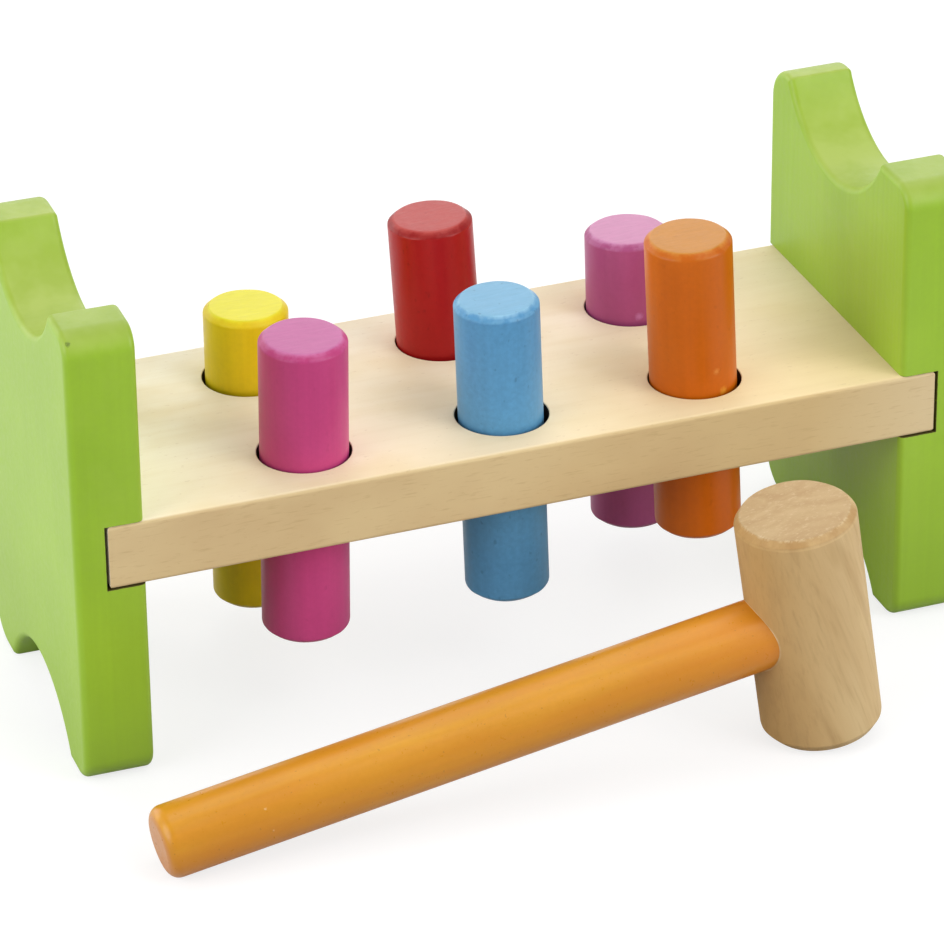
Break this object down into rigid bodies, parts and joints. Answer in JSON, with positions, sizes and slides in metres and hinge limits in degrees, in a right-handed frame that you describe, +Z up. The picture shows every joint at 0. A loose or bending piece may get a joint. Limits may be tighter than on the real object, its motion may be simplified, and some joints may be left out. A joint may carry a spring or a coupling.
{
  "type": "peg pounding bench",
  "caption": "Wooden toy bench that stands either way up, with coloured pegs to pound through gripping holes in its deck, and a loose hammer.",
  "frame": {"origin": "on the table, in the middle of the space that the bench and its hammer cover together", "axes": "+X along the bench to the viewer's right, +Y away from the viewer to the back, +Z up"},
  "size_m": [0.2662, 0.1585, 0.1392],
  "materials": {
    "green_paint": "satin lime green paint over wood",
    "deck_wood": "plain pale wood, sanded",
    "yellow_paint": "satin yellow paint over wood",
    "red_paint": "satin red paint over wood",
    "purple_paint": "satin light purple paint over wood",
    "pink_paint": "satin pink paint over wood",
    "blue_paint": "satin light blue paint over wood",
    "orange_paint": "satin orange paint over wood",
    "ring_rubber": "matt black rubber",
    "head_wood": "plain wood, turned and sanded",
    "handle_paint": "satin orange yellow paint over wood"
  },
  "bodies": {
    "bench": {"left_end_panel": "green_paint", "right_end_panel": "green_paint", "deck_board": "deck_wood", "yellow_friction_ring": "ring_rubber", "red_friction_ring": "ring_rubber", "purple_friction_ring": "ring_rubber", "pink_friction_ring": "ring_rubber", "blue_friction_ring": "ring_rubber", "orange_friction_ring": "ring_rubber"},
    "yellow_peg": {"yellow_peg": "yellow_paint"},
    "red_peg": {"red_peg": "red_paint"},
    "purple_peg": {"purple_peg": "purple_paint"},
    "pink_peg": {"pink_peg": "pink_paint"},
    "blue_peg": {"blue_peg": "blue_paint"},
    "orange_peg": {"orange_peg": "orange_paint"},
    "hammer": {"hammer_head": "head_wood", "hammer_handle": "handle_paint"}
  },
  "joints": [
    {"name": "yellow_peg_slide", "type": "slide", "parent": "bench", "child": "yellow_peg", "axis": [0.0052, 0.0192, 0.9998], "range_m": [-0.0098, 0.0362]},
    {"name": "red_peg_slide", "type": "slide", "parent": "bench", "child": "red_peg", "axis": [-0.0523, 0.0209, 0.9984], "range_m": [-0.0273, 0.0181]},
    {"name": "purple_peg_slide", "type": "slide", "parent": "bench", "child": "purple_peg", "axis": [-0.0087, 0.0366, 0.9993], "range_m": [-0.0122, 0.0335]},
    {"name": "pink_peg_slide", "type": "slide", "parent": "bench", "child": "pink_peg", "axis": [0.007, -0.0279, 0.9996], "range_m": [-0.024, 0.0218]},
    {"name": "blue_peg_slide", "type": "slide", "parent": "bench", "child": "blue_peg", "axis": [-0.0331, -0.0122, 0.9994], "range_m": [-0.0245, 0.0213]},
    {"name": "orange_peg_slide", "type": "slide", "parent": "bench", "child": "orange_peg", "axis": [-0.0471, -0.0052, 0.9989], "range_m": [-0.0331, 0.0125]},
    {"name": "hammer_lift", "type": "slide", "parent": "bench", "child": "hammer", "axis": [0, 0, 1], "range_m": [0, 0.12]}
  ]
}
